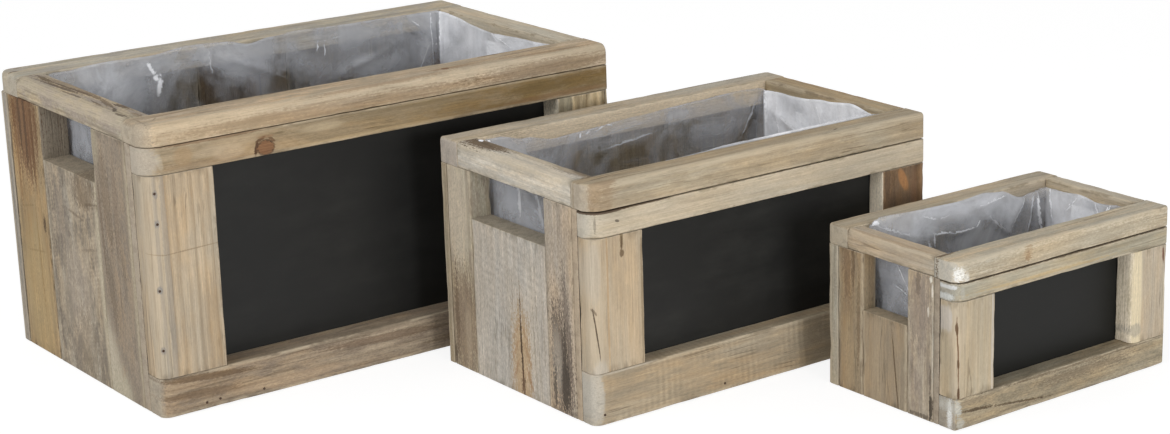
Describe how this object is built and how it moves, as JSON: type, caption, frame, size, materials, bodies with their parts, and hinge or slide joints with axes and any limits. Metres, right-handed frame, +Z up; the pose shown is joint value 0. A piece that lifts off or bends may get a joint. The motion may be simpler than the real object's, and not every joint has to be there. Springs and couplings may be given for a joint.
{
  "type": "planter box set",
  "caption": "Set of rectangular reclaimed-wood planter boxes in graded sizes, each with a framed chalkboard front, slatted sides with hand holes, a flat rim and a film liner.",
  "frame": {"origin": "on the floor, in the middle of the rectangle that the set of planters covers", "axes": "+Z up; the chalkboard fronts face -Y; the long sides lie along X; the large planter is at the back (+Y) and to the left (-X), the small one in front to the right"},
  "size_m": [0.783, 0.79, 0.27],
  "materials": {
    "rim_wood": "reclaimed pine, sanded lightly, unfinished",
    "rail_wood": "reclaimed pine, weathered",
    "stile_wood": "reclaimed pine, flat sawn, broad stripes",
    "side_wood": "reclaimed pine, rough sawn, greyed and stained",
    "back_wood": "reclaimed pine, rough sawn, greyed",
    "bottom_wood": "plain pine panel",
    "chalkboard_paint": "plywood with matt chalkboard paint",
    "liner_film": "crinkled translucent grey polythene film"
  },
  "bodies": {
    "large_planter": {"large_rim_front": "rim_wood", "large_rim_back": "rim_wood", "large_rim_left": "rim_wood", "large_rim_right": "rim_wood", "large_top_rail": "rail_wood", "large_bottom_rail": "rail_wood", "large_left_stile": "stile_wood", "large_right_stile": "stile_wood", "large_chalkboard": "chalkboard_paint", "large_left_slat_front": "side_wood", "large_left_slat_middle": "side_wood", "large_left_slat_rear": "side_wood", "large_right_slat_front": "side_wood", "large_right_slat_middle": "side_wood", "large_right_slat_rear": "side_wood", "large_back_board_1": "back_wood", "large_back_board_2": "back_wood", "large_back_board_3": "back_wood", "large_back_board_4": "back_wood", "large_back_board_5": "back_wood", "large_bottom_panel": "bottom_wood", "large_liner": "liner_film"},
    "medium_planter": {"medium_rim_front": "rim_wood", "medium_rim_back": "rim_wood", "medium_rim_left": "rim_wood", "medium_rim_right": "rim_wood", "medium_top_rail": "rail_wood", "medium_bottom_rail": "rail_wood", "medium_left_stile": "stile_wood", "medium_right_stile": "stile_wood", "medium_chalkboard": "chalkboard_paint", "medium_left_slat_front": "side_wood", "medium_left_slat_middle": "side_wood", "medium_left_slat_rear": "side_wood", "medium_right_slat_front": "side_wood", "medium_right_slat_middle": "side_wood", "medium_right_slat_rear": "side_wood", "medium_back_boards": "back_wood", "medium_bottom_panel": "bottom_wood", "medium_liner": "liner_film"},
    "small_planter": {"small_rim_front": "rim_wood", "small_rim_back": "rim_wood", "small_rim_left": "rim_wood", "small_rim_right": "rim_wood", "small_top_rail": "rail_wood", "small_bottom_rail": "rail_wood", "small_left_stile": "stile_wood", "small_right_stile": "stile_wood", "small_chalkboard": "chalkboard_paint", "small_left_slat_front": "side_wood", "small_left_slat_middle": "side_wood", "small_left_slat_rear": "side_wood", "small_right_slat_front": "side_wood", "small_right_slat_middle": "side_wood", "small_right_slat_rear": "side_wood", "small_back_boards": "back_wood", "small_bottom_panel": "bottom_wood", "small_liner": "liner_film"}
  },
  "joints": [
    {"name": "medium_lift", "type": "slide", "parent": "large_planter", "child": "medium_planter", "axis": [0, 0, 1], "range_m": [0, 0.3]},
    {"name": "small_lift", "type": "slide", "parent": "large_planter", "child": "small_planter", "axis": [0, 0, 1], "range_m": [0, 0.3]}
  ]
}
